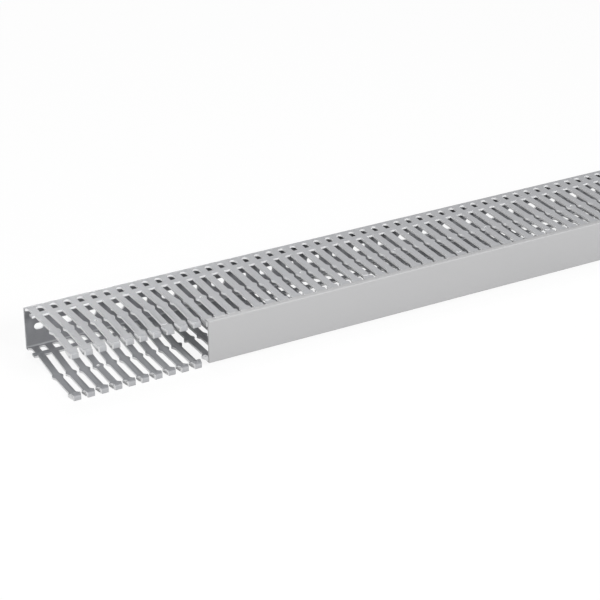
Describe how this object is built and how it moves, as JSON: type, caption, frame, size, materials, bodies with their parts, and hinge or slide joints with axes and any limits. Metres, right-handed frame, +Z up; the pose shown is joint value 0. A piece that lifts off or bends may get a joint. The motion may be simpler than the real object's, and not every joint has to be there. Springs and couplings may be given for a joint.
{
  "type": "slotted wiring duct",
  "caption": "Open-slot wiring duct of grey plastic with comb walls and a clip-on flat cover slid partly along it.",
  "frame": {"origin": "on the floor under the middle of the duct and its cover as they stand", "axes": "+X along the duct towards the covered end, +Y towards the mounting side, +Z up across the duct's width"},
  "size_m": [1.128, 0.1018, 0.0478],
  "materials": {
    "duct": "extruded light grey rigid PVC, satin matt",
    "cover": "extruded light grey rigid PVC, satin matt, smooth"
  },
  "bodies": {
    "duct": {"duct": "duct"},
    "cover": {"cover": "cover"}
  },
  "joints": [
    {"name": "cover_slide", "type": "slide", "parent": "duct", "child": "cover", "axis": [1, 0, 0], "range_m": [0, 0.75]}
  ]
}
